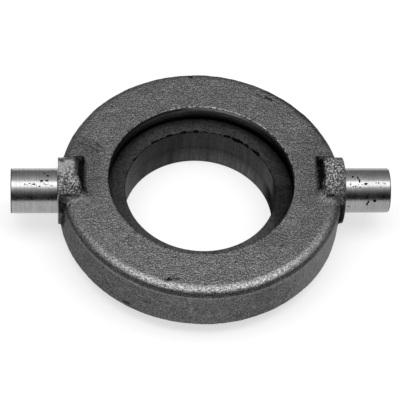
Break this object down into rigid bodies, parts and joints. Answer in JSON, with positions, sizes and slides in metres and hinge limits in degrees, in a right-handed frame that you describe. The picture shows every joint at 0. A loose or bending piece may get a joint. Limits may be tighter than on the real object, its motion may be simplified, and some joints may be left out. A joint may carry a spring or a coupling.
{
  "type": "thrust bearing",
  "caption": "Plain graphite thrust ring held in a cast iron ring housing with a turned trunnion pin on each side, as a clutch fork carries it.",
  "frame": {"origin": "centre of the graphite ring's thrust face, on which the bearing rests", "axes": "+Z along the axis of the bearing, from the thrust face towards the flange at the back; +X along the trunnions"},
  "size_m": [0.1266, 0.0942, 0.0268],
  "materials": {
    "iron": "rough dark cast skin, with the trunnion pins and the bore of the flange turned bright",
    "graphite": "moulded graphite, dull, with a chipped inner edge"
  },
  "bodies": {
    "root": {"housing": "iron", "graphite_ring": "graphite"}
  },
  "joints": []
}
